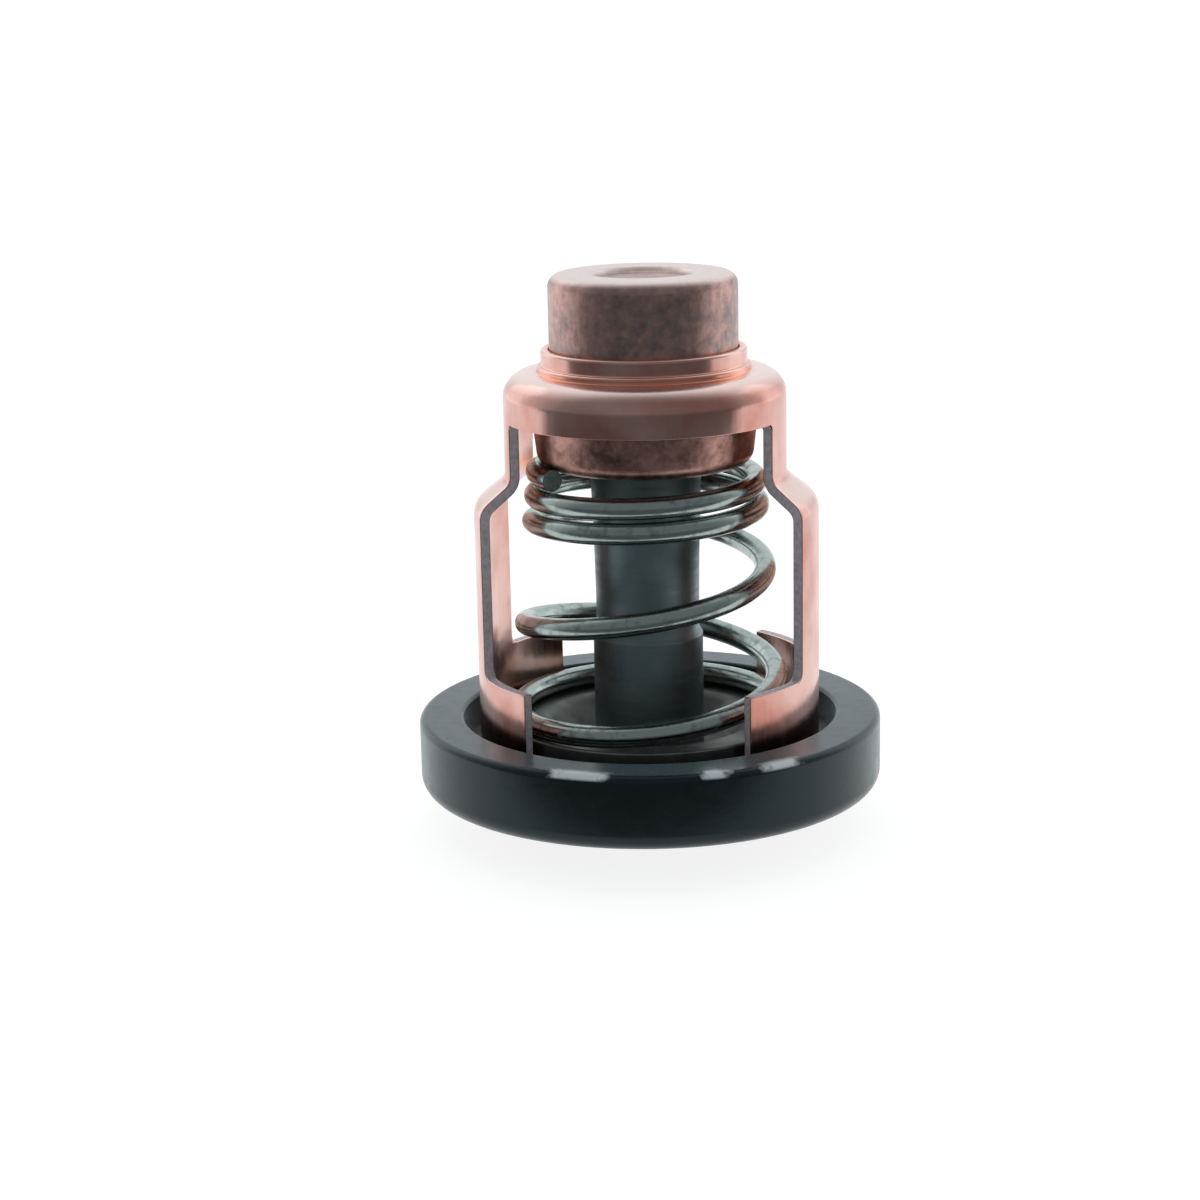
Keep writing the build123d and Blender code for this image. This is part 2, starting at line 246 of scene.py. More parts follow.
class StageSettings(PropertyGroup):
    floor_size: size("Floor size", "Width of the floor", 30000.0)
    camera_distance: size("Camera distance", "From the valve's axis to the camera, level", 220.0)
    camera_height: size("Camera height", "Height of the camera above the floor", 73.9)
    camera_side: angle("Camera side", "How far the camera stands to the right of the front", 5.25)
    camera_pitch: angle("Camera pitch", "How far the camera looks down", 13.77)
    camera_turn: angle("Camera turn", "How far the camera looks past the axis to the left", 1.1)
    camera_roll: angle("Camera roll", "How far the camera is rolled", 1.2)
    camera_lens: FloatProperty(name="Lens", description="Focal length in millimetres", default=76.8)
    box_distance: size("Light distance", "From the valve to each soft box", 450.0)
    box_width: size("Light width", "Width of each soft box", 260.0)
    box_height: size("Light height", "Height of each soft box", 520.0)
    box_lift: size("Light lift", "How far each soft box stands above the middle of the valve", 112.5)
    box_behind: angle("Light behind", "How far each soft box stands behind the valve's side", 38.0)
    box_power: FloatProperty(name="Light power", description="Watts of each box", default=0.15, unit="POWER")
    backdrop: colour("Backdrop", "What the camera sees behind the valve", "#FFFFFF")
    tent: colour("Tent", "White cloth round the sides and back", "#F4F9FB")
    open_front: colour("Open front", "The dim room in front of the tent", "#85898B")
    paper: colour("Paper", "White paper under the valve", "#E4E4E4")
    paper_shade: colour("Paper shade", "The part of the paper's white that a shadow takes", "#A8A8A8")
    paper_glow: FloatProperty(name="Paper glow", description="White that no shadow takes", default=0.85)
    paper_front: size("Paper front", "How far in front metal mirrors the paper", 26.0)
    paper_end: size("Paper end", "Where in front metal starts to mirror only the room", 36.4)


def perpendicular(direction):
    """A direction turned a quarter to the left."""
    return Vector((-direction.y, direction.x))


def rounded_path(corners):
    """Points and directions along straight runs, each corner given as radius, height and rounding."""
    places = [Vector(corner[:2]) for corner in corners]
    stations = []
    for index, place in enumerate(places):
        before = (place - places[max(index - 1, 0)]).normalized()
        after = (places[min(index + 1, len(places) - 1)] - place).normalized()
        rounding = corners[index][2]
        inside = 0 < index < len(places) - 1
        if not inside or rounding == 0:
            stations.append((place, after if index == 0 else before))
            continue
        turn = -before.angle_signed(after)
        side = 1 if turn > 0 else -1
        centre = place - before * rounding * tan(abs(turn) / 2) + perpendicular(before) * rounding * side
        count = max(2, ceil(abs(turn) / ARC_STEP))
        for step in range(count + 1):
            direction = Matrix.Rotation(turn * step / count, 2) @ before
            stations.append((centre - perpendicular(direction) * rounding * side, direction))
    return stations


def rounded_outline(corners):
    """The points of a closed outline, each corner given as radius, height and rounding."""
    first = Vector(corners[0][:2])
    last = Vector(corners[-1][:2])
    middle = (first + last) / 2
    ends = [(middle.x, middle.y, 0.0)]
    return [place for place, direction in rounded_path(ends + list(corners) + ends)][:-1]


def sheet_sides(corners, thickness, edge):
    """The two sides of a bent sheet with softened cut edges, as one closed outline."""
    half = thickness / 2
    stations = rounded_path(corners)
    left = [place + perpendicular(direction) * half for place, direction in stations]
    right = [place - perpendicular(direction) * half for place, direction in stations]
    for end, inner in ((0, 1), (-1, -1)):
        along = stations[end][1] * edge * inner
        across = perpendicular(stations[end][1]) * edge
        for side, way in ((left, 1), (right, -1)):
            corner = side[end].copy()
            side[end] = corner + along
            cut = corner - across * way
            side.insert(0 if end == 0 else len(side), cut)
    return left + right[::-1]


def turned(place, turn):
    """A place on a section, turned about the axis of the valve."""
    return (place.x * cos(turn), place.x * sin(turn), place.y)


def stitch(mesh, rings):
    """Fill the faces between following rings, where a ring may be a single point on the axis."""
    steps = max(len(ring) for ring in rings)
    for ring, following in zip(rings, rings[1:]):
        for step in range(steps):
            loop = [ring[step % len(ring)], ring[(step + 1) % len(ring)]]
            loop += [following[(step + 1) % len(following)], following[step % len(following)]]
            corners = list(dict.fromkeys(loop))
            if len(corners) > 2:
                mesh.faces.new(corners)


def lathe(mesh, outline):
    """Turn a closed outline of radius and height about the axis of the valve."""
    angles = [2 * pi * step / TURN_SEGMENTS for step in range(TURN_SEGMENTS)]
    rings = []
    for place in outline:
        ways = angles if place.x > TINY else angles[:1]
        rings.append([mesh.verts.new(turned(place, way)) for way in ways])
    stitch(mesh, rings + rings[:1])


def put_in_scene(name, data):
    """A new object for some data, linked to the scene."""
    thing = bpy.data.objects.new(name, data)
    bpy.context.scene.collection.objects.link(thing)
    return thing


def settle(piece):
    """Turn the modifiers of a piece into its plain mesh."""
    graph = bpy.context.evaluated_depsgraph_get()
    settled = bpy.data.meshes.new_from_object(piece.evaluated_get(graph))
    piece.modifiers.clear()
    piece.data = settled


def make_piece(name, mesh, materials):
    """A smooth closed piece from its mesh, with normals that follow the broad faces."""
    bmesh.ops.recalc_face_normals(mesh, faces=mesh.faces)
    data = bpy.data.meshes.new(name)
    mesh.to_mesh(data)
    mesh.free()
    for material in materials:
        data.materials.append(material)
    data.shade_smooth()
    piece = put_in_scene(name, data)
    normals = piece.modifiers.new("Broad faces", "WEIGHTED_NORMAL")
    normals.keep_sharp = True
    settle(piece)
    return piece


def turned_piece(name, outline, material):
    """A piece turned from its outline, in one material."""
    mesh = bmesh.new()
    lathe(mesh, outline)
    return make_piece(name, mesh, [material])


def seat(piece, body, slot, *nodes):
    """Let a piece ride on a body in place of the solids that it stands for."""
    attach(piece, body)
    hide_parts(*nodes)


def finish_node(name, material):
    """Give a solid that stays a finished material."""
    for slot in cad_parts[name].material_slots:
        slot.material = material


def per(millimetres):
    """The scale of a pattern whose features are this large."""
    return 1 / (millimetres * MM)


def darker(tone, share):
    """A share of a colour, still opaque."""
    return (*[share * value for value in tone[:3]], 1.0)


def handed_on(value):
    """The first enabled output of a node, or else the value as it is."""
    if isinstance(value, bpy.types.Node):
        return next(socket for socket in value.outputs if socket.enabled)
    return value


def add(tree, kind, inputs=(), **settings):
    """Add a node with its settings, and set or link its inputs, given by name or in the node's own order."""
    node = tree.nodes.new(kind)
    for name, value in settings.items():
        setattr(node, name, value)
    if isinstance(inputs, dict):
        pairs = [(node.inputs[name], value) for name, value in inputs.items()]
    else:
        pairs = zip([socket for socket in node.inputs if socket.enabled], inputs)
    for socket, value in pairs:
        source = handed_on(value)
        if isinstance(source, bpy.types.NodeSocket):
            tree.links.new(source, socket)
        else:
            socket.default_value = source
    return node


def start_material(name, **constants):
    """A material with constants set on its shader's own sockets, its node tree, and where patterns lie."""
    material = bpy.data.materials.new(name)
    material.use_nodes = True
    tree = material.node_tree
    shader = tree.nodes["Principled BSDF"]
    for key, value in constants.items():
        shader.inputs[key.replace("_", " ").title().replace("Ior", "IOR")].default_value = value
    place = add(tree, "ShaderNodeTexCoord").outputs["Object"]
    return material, tree, place


def finish_material(material, base, rough, height, depth):
    """Link a colour, a roughness and a relief of some depth in millimetres to the material's shader."""
    tree = material.node_tree
    bump = add(tree, "ShaderNodeBump", {"Height": height, "Distance": depth * MM, "Strength": 1.0})
    shader = tree.nodes["Principled BSDF"]
    for name, source in (("Base Color", base), ("Roughness", rough), ("Normal", bump)):
        tree.links.new(handed_on(source), shader.inputs[name])
    return material


def two_tone(tree, place, tone, dark_share, grain, detail=4.0, spread=(0.35, 0.7)):
    """A noise with features of some size in millimetres, and the colour that it darkens over a spread."""
    noise = add(tree, "ShaderNodeTexNoise", {"Vector": place, "Scale": per(grain), "Detail": detail})
    share = add(tree, "ShaderNodeMapRange", [noise, *spread])
    base = add(tree, "ShaderNodeMix", [share, tone, darker(tone, dark_share)], data_type="RGBA")
    return noise, base


def bright_drawn_copper(bright, warm, painted_crease_glow):
    # Copper sheet, deep drawn and left bright: glossy, a little wavy, with draw lines up the legs. A warm
    # film lies in random patches on its sides; faces that look up are painted in the bright tone, a painted
    # highlight, and its creases are painted redder, a painted reflection of the copper in itself.
    material, tree, place = start_material("bright_drawn_copper", metallic=1.0)
    film = add(tree, "ShaderNodeTexNoise", {"Vector": place, "Scale": per(6.0), "Detail": 5.0})
    film_share = add(tree, "ShaderNodeMapRange", [film, 0.38, 0.66, 0.5, 0.95])
    facing = add(tree, "ShaderNodeNewGeometry").outputs["Normal"]
    upward = add(tree, "ShaderNodeSeparateXYZ", [facing]).outputs["Z"]
    # Faces that look up lose the warm film and take the bright tone: a painted highlight on the top
    away_from_top_highlight = add(tree, "ShaderNodeMapRange", [upward, 0.9, 0.5])
    film_and_top_highlight = add(tree, "ShaderNodeMath", [film_share, away_from_top_highlight], operation="MULTIPLY")
    film_and_highlight_base = add(tree, "ShaderNodeMix", [film_and_top_highlight, bright, warm], data_type="RGBA")
    # Creases found by occlusion take the crease colour: a painted reflection of the copper in itself
    openness = add(tree, "ShaderNodeAmbientOcclusion", {"Distance": 1.4 * MM}, samples=6).outputs["AO"]
    painted_crease_share = add(tree, "ShaderNodeMapRange", [openness, 0.88, 0.45])
    base = add(tree, "ShaderNodeMix", [painted_crease_share, film_and_highlight_base, painted_crease_glow], data_type="RGBA")
    # Real draw lines are a few hundredths of a millimetre apart; these are coarser, so that they show.
    drawn = add(tree, "ShaderNodeMapping", {"Vector": place, "Scale": (per(0.3), per(0.3), per(7.0))})
    lines = add(tree, "ShaderNodeTexNoise", {"Vector": drawn, "Scale": 1.0, "Detail": 3.0})
    rough = add(tree, "ShaderNodeMapRange", [lines, 0.3, 0.7, 0.17, 0.25])
    wave = add(tree, "ShaderNodeTexNoise", {"Vector": place, "Scale": per(3.5), "Detail": 2.0})
    relief = add(tree, "ShaderNodeMath", [lines, 0.04, wave], operation="MULTIPLY_ADD")
    return finish_material(material, base, rough, relief, depth=0.05)


def sheared_copper(sheared):
    # The cut edge of copper sheet: torn by the die and dulled, so matte, grey-mauve and grained.
    material, tree, place = start_material("sheared_copper", metallic=0.2)
    grain, base = two_tone(tree, place, sheared, dark_share=0.7, grain=0.35)
    rough = add(tree, "ShaderNodeMapRange", [grain, 0.0, 1.0, 0.4, 0.58])
    return finish_material(material, base, rough, grain, depth=0.02)


def tarnished_copper(name, tarnish, rubbed, painted_top_highlight, top_highlight_from):
    # Copper dulled by heat and handling: satin, mottled mauve brown, with faint upright rub marks, and
    # painted lighter above some height, a painted highlight on the top.
    material, tree, place = start_material(name, metallic=1.0)
    mottle = add(
        tree, "ShaderNodeTexNoise", {"Vector": place, "Scale": per(1.0), "Detail": 6.0, "Roughness": 0.65}
    )
    cloud = add(tree, "ShaderNodeTexNoise", {"Vector": place, "Scale": per(5.0), "Detail": 2.0})
    both = add(tree, "ShaderNodeMath", [cloud, 0.6, mottle], operation="MULTIPLY_ADD")
    share = add(tree, "ShaderNodeMapRange", [both, 0.62, 1.0])
    mottled = add(tree, "ShaderNodeMix", [share, tarnish, rubbed], data_type="RGBA")
    height = add(tree, "ShaderNodeSeparateXYZ", [place]).outputs["Z"]
    # Above the height the colour turns lighter: a painted highlight
    top_highlight_share = add(tree, "ShaderNodeMapRange", [height, top_highlight_from, top_highlight_from + 0.4 * MM])
    base = add(tree, "ShaderNodeMix", [top_highlight_share, mottled, painted_top_highlight], data_type="RGBA")
    upright = add(tree, "ShaderNodeMapping", {"Vector": place, "Scale": (per(0.45), per(0.45), per(6.0))})
    marks = add(tree, "ShaderNodeTexNoise", {"Vector": upright, "Scale": 1.0, "Detail": 3.0})
    rough = add(tree, "ShaderNodeMapRange", [marks, 0.3, 0.7, 0.3, 0.42])
    relief = add(tree, "ShaderNodeMath", [marks, 0.5, mottle], operation="MULTIPLY_ADD")
    return finish_material(material, base, rough, relief, depth=0.03)


def bright_spring_wire(steel):
    # Hard-drawn spring wire, oil bright: glossy grey with a green cast and small dark specks.
    material, tree, place = start_material("bright_spring_wire", metallic=1.0)
    speck, base = two_tone(tree, place, steel, dark_share=0.5, grain=0.9, detail=5.0, spread=(0.52, 0.78))
    rough = add(tree, "ShaderNodeMapRange", [speck, 0.3, 0.7, 0.13, 0.3])
    return finish_material(material, base, rough, speck, depth=0.012)


def dull_nickel_plate(nickel):
    # Turned sleeve under dull nickel: satin blue-grey, with fine tool lines round it.
    material, tree, place = start_material("dull_nickel_plate", metallic=1.0)
    base = two_tone(tree, place, nickel, dark_share=0.75, grain=4.0)[1]
    # Tool lines this fine would not show, so they are drawn a quarter of a millimetre apart.
    around = add(tree, "ShaderNodeMapping", {"Vector": place, "Scale": (per(6.0), per(6.0), per(0.25))})
    lines = add(tree, "ShaderNodeTexNoise", {"Vector": around, "Scale": 1.0, "Detail": 2.0})
    rough = add(tree, "ShaderNodeMapRange", [lines, 0.3, 0.7, 0.4, 0.54])
    return finish_material(material, base, rough, lines, depth=0.008)


def coated_steel(name, coating, roughness):
    # Pressed steel under a thin coat: dim, even, with faint blotches.
    material, tree, place = start_material(name, metallic=1.0)
    blotch, base = two_tone(tree, place, coating, dark_share=0.55, grain=2.5, detail=5.0)
    rough = add(tree, "ShaderNodeMapRange", [blotch, 0.0, 1.0, roughness, roughness + 0.18])
    return finish_material(material, base, rough, blotch, depth=0.015)


def moulded_black_rubber(rubber, painted_glint, edge_radius, edge_height, painted_glints):
    # Compression-moulded rubber: black with a smooth sheen and finely grained, with pale highlights painted
    # on its upper edge at three places.
    material, tree, place = start_material(
        "moulded_black_rubber", ior=1.52, sheen_weight=0.7, sheen_roughness=0.35,
        sheen_tint=linear("#B4D4E0"), specular_tint=linear("#BBD8E2"),
    )
    grain = add(tree, "ShaderNodeTexNoise", {"Vector": place, "Scale": per(0.5), "Detail": 4.0})
    glint_and_gloss_noise = add(
        tree, "ShaderNodeTexNoise", {"Vector": place, "Scale": per(1.4), "Detail": 5.0, "Roughness": 0.6}
    )
    marks = 0.0
    # Each mark is a painted highlight: a pale, ragged patch on the upper edge
    for turn, reach in painted_glints:
        middle = (edge_radius * cos(turn), edge_radius * sin(turn), edge_height)
        away = add(tree, "ShaderNodeVectorMath", [place, middle], operation="DISTANCE")
        ragged = add(tree, "ShaderNodeMath", [glint_and_gloss_noise, 1.6 * reach, away], operation="MULTIPLY_ADD")
        near = add(tree, "ShaderNodeMapRange", [ragged, 1.75 * reach, 1.3 * reach])
        marks = add(tree, "ShaderNodeMath", [near, marks], operation="MAXIMUM")
    height = add(tree, "ShaderNodeSeparateXYZ", [place]).outputs["Z"]
    high = add(tree, "ShaderNodeMapRange", [height, edge_height - 0.5 * MM, edge_height - 0.3 * MM])
    level = add(tree, "ShaderNodeVectorMath", [place, (1.0, 1.0, 0.0)], operation="MULTIPLY")
    radius = add(tree, "ShaderNodeVectorMath", [level], operation="LENGTH")
    outer = add(tree, "ShaderNodeMapRange", [radius, edge_radius - 1.5 * MM, edge_radius - 0.7 * MM])
    on_edge = add(tree, "ShaderNodeMath", [high, outer], operation="MULTIPLY")
    share = add(tree, "ShaderNodeMath", [on_edge, marks], operation="MULTIPLY")
    base = add(tree, "ShaderNodeMix", [share, rubber, painted_glint], data_type="RGBA")
    rough = add(tree, "ShaderNodeMapRange", [glint_and_gloss_noise, 0.3, 0.7, 0.18, 0.3])
    return finish_material(material, base, rough, grain, depth=0.008)


def inner_material(name, hex_colour, roughness, grain_size, relief, **constants):
    # A plain inner piece: one tone with a fine grain of its own size.
    material, tree, place = start_material(name, **constants)
    tone = linear(hex_colour)
    grain, base = two_tone(tree, place, tone, dark_share=0.7, grain=grain_size, spread=(0.0, 1.0))
    rough = add(tree, "ShaderNodeMapRange", [grain, 0.0, 1.0, roughness, roughness + 0.15])
    return finish_material(material, base, rough, grain, depth=relief)


class COOLANT_OT_sealing_ring(Operator):
    """Make the rubber ring that is gripped round the flange"""
    bl_idname = "coolant_valve.sealing_ring"
    bl_label = "Sealing Ring"

    def execute(self, context):
        ring = context.scene.coolant_ring
        flange_bottom = flange_low.z
        flange_top = flange_bottom + ring.flange_thickness
        groove = flange_high.x + ring.groove_gap
        outline = rounded_outline([
            (ring.bore_radius, ring_low.z, ring.bore_edge),
            (ring_high.x, ring_low.z, ring.lower_edge),
            (ring_high.x, ring_high.z, ring.upper_edge),
            (ring.bore_radius, ring_high.z, ring.bore_edge),
            (ring.bore_radius, flange_top, ring.groove_gap),
            (groove, flange_top, 0.0),
            (groove, flange_bottom, 0.0),
            (ring.bore_radius, flange_bottom, ring.groove_gap),
        ])
        # Where the painted highlights lie on the upper edge, and how far each spreads
        painted_glints = (
            (ring.left_glint, ring.left_reach),
            (ring.middle_glint, ring.front_reach),
            (ring.right_glint, ring.right_reach),
        )
        rubber = moulded_black_rubber(ring.rubber, ring.painted_glint, ring_high.x, ring_high.z, painted_glints)
        piece = turned_piece("rubber_ring", outline, rubber)
        seat(piece, HOUSING, "black_rubber", "sealing_ring")
        return {"FINISHED"}


def cage_columns(cage, foot_middle, neck_middle):
    """The angles of the cage's mesh columns, with one on every edge of a leg, foot, tab or corner."""
    quarter_marks = {0.0, pi / 2, cage.leg_half_angle, cage.foot_half_angle}
    quarter_marks.add(cage.leg_half_angle + cage.foot_corner / foot_middle)
    quarter_marks.add(cage.leg_half_angle + cage.window_corner / neck_middle)
    quarter_marks |= {cage.tab_angle - cage.tab_half_angle, cage.tab_angle + cage.tab_half_angle}
    marks = sorted(quarter_marks)
    quarter = []
    for start, end in zip(marks, marks[1:]):
        count = ceil((end - start) / COLUMN_STEP)
        quarter += [start + (end - start) * step / count for step in range(count)]
    quarter.append(pi / 2)
    mirrored = [pi - a for a in reversed(quarter[:-1])]
    half = quarter + mirrored
    return half + [a + pi for a in half[1:-1]]


class COOLANT_OT_cage_frame(Operator):
    """Make the stamped copper cage with its collar, legs, feet and turned tabs"""
    bl_idname = "coolant_valve.cage_frame"
    bl_label = "Copper Cage"

    def execute(self, context):
        cage = context.scene.coolant_cage
        mesh = bmesh.new()
        cut_faces = build_cage(mesh, cage)
        for face in cut_faces:
            face.material_index = 1
        bmesh.ops.recalc_face_normals(mesh, faces=mesh.faces)
        sharp = [edge for edge in mesh.edges if edge.calc_face_angle(0.0) > SHARP_ANGLE]
        bmesh.ops.bevel(
            mesh, geom=sharp, offset=cage.cut_edge, segments=2, profile=0.5, affect="EDGES", material=0
        )
        drawn = bright_drawn_copper(cage.bright, cage.warm, cage.painted_crease_glow)
        materials = [drawn, sheared_copper(cage.sheared)]
        piece = make_piece("copper_cage", mesh, materials)
        seat(piece, HOUSING, "bright_copper", "cage_frame")
        return {"FINISHED"}


def cage_levels(cage):
    """The heights of the tops of the flange, the feet, the windows and the shoulder."""
    flange_top = flange_low.z + bpy.context.scene.coolant_ring.flange_thickness
    shoulder = flange_top + cage.shoulder_height
    return flange_top, flange_top + cage.foot_height, shoulder - cage.window_below_shoulder, shoulder


def cage_radii(cage):
    """The middle radius of the sheet at the feet and at the neck."""
    return cage_high.x - cage.sheet / 2, cage_high.y - cage.sheet / 2


def cage_profile(cage):
    """The middle line of the cage's sheet, from the tip of a tab up to the bead of the collar."""
    half = cage.sheet / 2
    flange_top, foot_top, window_top, shoulder = cage_levels(cage)
    foot, neck = cage_radii(cage)
    joggle = flange_top + cage.joggle_height - cage.joggle_rise / 2
    plateau = shoulder - half
    bead_radius = bulb_high.x + cage.collar_gap + cage.collar_wall + cage.bead
    return rounded_path([
        (cage_high.x + cage.tab_reach, cage_low.z + half, 0.0),
        (foot, cage_low.z + half, cage.tab_bend),
        (foot, flange_top, 0.0),
        (foot, foot_top, 0.0),
        (foot, foot_top + cage.foot_corner, 0.0),
        (foot, joggle, cage.joggle_bend),
        (neck, joggle + cage.joggle_rise, cage.joggle_bend),
        (neck, window_top - cage.window_corner, 0.0),
        (neck, window_top, 0.0),
        (neck, plateau, cage.shoulder_roll),
        (bead_radius, plateau, 0.0),
    ])


def collar_outline(cage):
    """The collar's outline, from the shoulder over the bead and the rim to the ceiling inside."""
    bore = bulb_high.x + cage.collar_gap
    wall = bore + cage.collar_wall
    bead = wall + cage.bead
    shoulder = cage_levels(cage)[-1]
    bead_top = shoulder + cage.bead_height
    bead_edge = cage.bead * 0.8
    rim_outside = cage.collar_wall * 0.4
    rim_inside = cage.collar_wall * 0.25
    return rounded_path([
        (bead, shoulder, 0.0),
        (bead, bead_top, bead_edge),
        (wall, bead_top, bead_edge / 2),
        (wall, cage_high.z, rim_outside),
        (bore, cage_high.z, rim_inside),
        (bore, shoulder - cage.sheet, 0.0),
    ])


def build_cage(mesh, cage):
    """Fill a mesh with the cage's sheet, and return the faces of its cut edges."""
    half = cage.sheet / 2
    flange_top, foot_top, window_top = cage_levels(cage)[:3]
    stations = cage_profile(cage)
    columns = cage_columns(cage, *cage_radii(cage))
    top_row = len(stations) - 1
    outer = {}
    inner = {}

    def add_vertex(key, place, direction, turn):
        """Add the points on both sides of the sheet at a place, once for each key."""
        if key in outer:
            return
        across = perpendicular(direction) * half
        outside = place - across
        inside = place + across
        if key[0] == top_row:
            inside = Vector((bulb_high.x + cage.collar_gap, inside.y))
        outer[key] = mesh.verts.new(turned(outside, turn))
        inner[key] = mesh.verts.new(turned(inside, turn))

    def from_leg(turn):
        """The angle from the middle of the nearer leg."""
        folded = turn % pi
        return min(folded, pi - folded)

    def kept(row, column):
        """True where the sheet is left after the windows, foot ends and tabs are cut."""
        height = (stations[row][0].y + stations[row + 1][0].y) / 2
        following = columns[column + 1] if column + 1 < len(columns) else 2 * pi
        away = from_leg((columns[column] + following) / 2)
        if height > window_top:
            return True
        if height > foot_top:
            return away < cage.leg_half_angle
        if height > flange_top:
            return away < cage.foot_half_angle
        return abs(away - cage.tab_angle) < cage.tab_half_angle

    cells = []
    for row in range(top_row):
        for column in range(len(columns)):
            if kept(row, column):
                following = (column + 1) % len(columns)
                cells.append([(row, column), (row, following), (row + 1, following), (row + 1, column)])
    for cell in cells:
        for row, column in cell:
            add_vertex((row, column), *stations[row], columns[column])
    cells += corner_cells(cage, stations, columns, foot_top, window_top, add_vertex)

    used = {}
    for cell in cells:
        mesh.faces.new([outer[key] for key in cell])
        mesh.faces.new([inner[key] for key in reversed(cell)])
        for start, end in zip(cell, cell[1:] + cell[:1]):
            used.setdefault(frozenset((start, end)), []).append((start, end))
    cut_faces = []
    for ways in used.values():
        start, end = ways[0]
        at_collar = start[0] == top_row and end[0] == top_row
        if len(ways) == 1 and not at_collar:
            cut_faces.append(mesh.faces.new([outer[end], outer[start], inner[start], inner[end]]))
    top_keys = [(top_row, column) for column in range(len(columns))]
    add_collar(mesh, cage, columns, [outer[key] for key in top_keys], [inner[key] for key in top_keys])
    return cut_faces


def corner_cells(cage, stations, columns, foot_top, window_top, add_vertex):
    """Rounded fills between leg and foot, and between leg and shoulder."""
    heights = [place.y for place, direction in stations]
    cells = []
    for level, away, corner in ((foot_top, 1, cage.foot_corner), (window_top, -1, cage.window_corner)):
        row = min(range(len(heights)), key=lambda index: abs(heights[index] - level))
        far_row = row + away
        place, direction = stations[row]
        reach = corner / place.x
        for leg in (0.0, pi):
            for side in (-1, 1):
                edge = leg + side * cage.leg_half_angle
                along = []
                for index, column in enumerate(columns):
                    offset = ((column - edge + pi) % (2 * pi) - pi) * side
                    if -TINY < offset < reach + TINY:
                        along.append((offset, index))
                along.sort()
                straight = [(row, index) for offset, index in along]
                arc = []
                for step in range(1, CORNER_STEPS):
                    share = pi / 2 * step / CORNER_STEPS
                    height = level + away * corner * (1 - cos(share))
                    turn = edge + side * reach * (1 - sin(share))
                    key = (row + away * step / CORNER_STEPS, edge, level)
                    add_vertex(key, Vector((place.x, height)), direction, turn)
                    arc.append(key)
                cells.append(straight + arc + [(far_row, along[0][1])])
    return cells


def add_collar(mesh, cage, columns, lower, upper):
    """Close the shell with the collar, between the shoulder's top and the ceiling inside."""
    rings = [lower]
    for place, direction in collar_outline(cage)[1:-1]:
        rings.append([mesh.verts.new(turned(place, column)) for column in columns])
    stitch(mesh, rings + [upper])


class COOLANT_OT_spring_cup(Operator):
    """Make the drawn copper cup that seats the top of the spring"""
    bl_idname = "coolant_valve.spring_cup"
    bl_label = "Spring Cup"

    def execute(self, context):
        cup = context.scene.coolant_cup
        half = cup.sheet / 2
        mouth = cup_high.x - half
        floor = cup_low.z + half
        outline = sheet_sides([
            (cup.hole_radius, floor, 0.0),
            (cup.rim_radius - half, floor, cup.rim_roll - half),
            (mouth, cup_high.z - cup.mouth_height, cup.mouth_bend),
            (mouth, cup_high.z, 0.0),
        ], cup.sheet, cup.edge)
        copper = tarnished_copper("tarnished_cup_copper", cup.tarnish, cup.rubbed, cup.rubbed, cup_high.z)
        piece = turned_piece("copper_spring_cup", outline, copper)
        seat(piece, HOUSING, "dull_copper", "spring_cup")
        return {"FINISHED"}


class COOLANT_OT_wax_element(Operator):
    """Make the copper bulb, the plated guide and what they hold"""
    bl_idname = "coolant_valve.wax_element"
    bl_label = "Wax Element"

    def execute(self, context):
        element = context.scene.coolant_element
        valve = context.scene.coolant_valve_disc
        # The bulb is painted lighter from here up: a painted highlight on its top
        top_highlight_from = bulb_high.z - element.top_edge / 2
        copper = tarnished_copper(
            "tarnished_bulb_copper", element.tarnish, element.rubbed, element.painted_top_highlight, top_highlight_from
        )
        bulb = turned_piece("copper_bulb", bulb_outline(element), copper)
        seat(bulb, VALVE_UNIT, "dull_copper", "wax_cup")
        guide = turned_piece("plated_guide", guide_outline(element, valve), dull_nickel_plate(element.nickel))
        seat(guide, VALVE_UNIT, "nickel_plate", "guide_sleeve")
        # Wax with copper powder in it, pressed hard: dull, grainy, warm brown.
        wax = inner_material("copper_filled_wax", "#9C7458", roughness=0.6, grain_size=0.4, relief=0.02)
        finish_node("wax_charge", wax)
        # Soft moulded rubber that seals the wax in: dark and matte.
        soft = inner_material(
            "soft_moulded_rubber", "#262626", roughness=0.55, grain_size=0.5, relief=0.01, ior=1.52
        )
        finish_node("diaphragm", soft)
        finish_node("rubber_plug", soft)
        # Turned white nylon between rubber and steel: pale, slightly waxy.
        nylon = inner_material(
            "turned_white_nylon", "#E6E4DE", roughness=0.35, grain_size=0.6, relief=0.005, ior=1.53
        )
        finish_node("backing_disc", nylon)
        # Hardened and ground pin: bright with a fine grind.
        ground = inner_material(
            "ground_steel", "#C9CCCE", roughness=0.14, grain_size=0.3, relief=0.004, metallic=1.0
        )
        finish_node("piston_pin", ground)
        return {"FINISHED"}


def bulb_outline(element):
    """The section of the copper bulb, from the middle of its top round to the middle of its hollow."""
    dish = bulb_high.z - element.dimple_depth
    roof = dish - element.wall
    floor = bulb_low.z + element.wall
    inside = bulb_high.x - element.wall
    soft = element.dimple_depth
    lip_below = element.wall * 0.4
    lip_above = element.wall * 0.2
    return rounded_outline([
        (0.0, roof, 0.0),
        (0.0, dish, 0.0),
        (element.dimple_radius - soft, dish, soft),
        (element.dimple_radius, bulb_high.z, soft),
        (bulb_high.x, bulb_high.z, element.top_edge),
        (bulb_high.x, bulb_low.z, element.crimp_edge),
        (element.lip_radius, bulb_low.z, lip_below),
        (element.lip_radius, floor, lip_above),
        (inside, floor, 0.0),
        (inside, roof, 0.0),
    ])


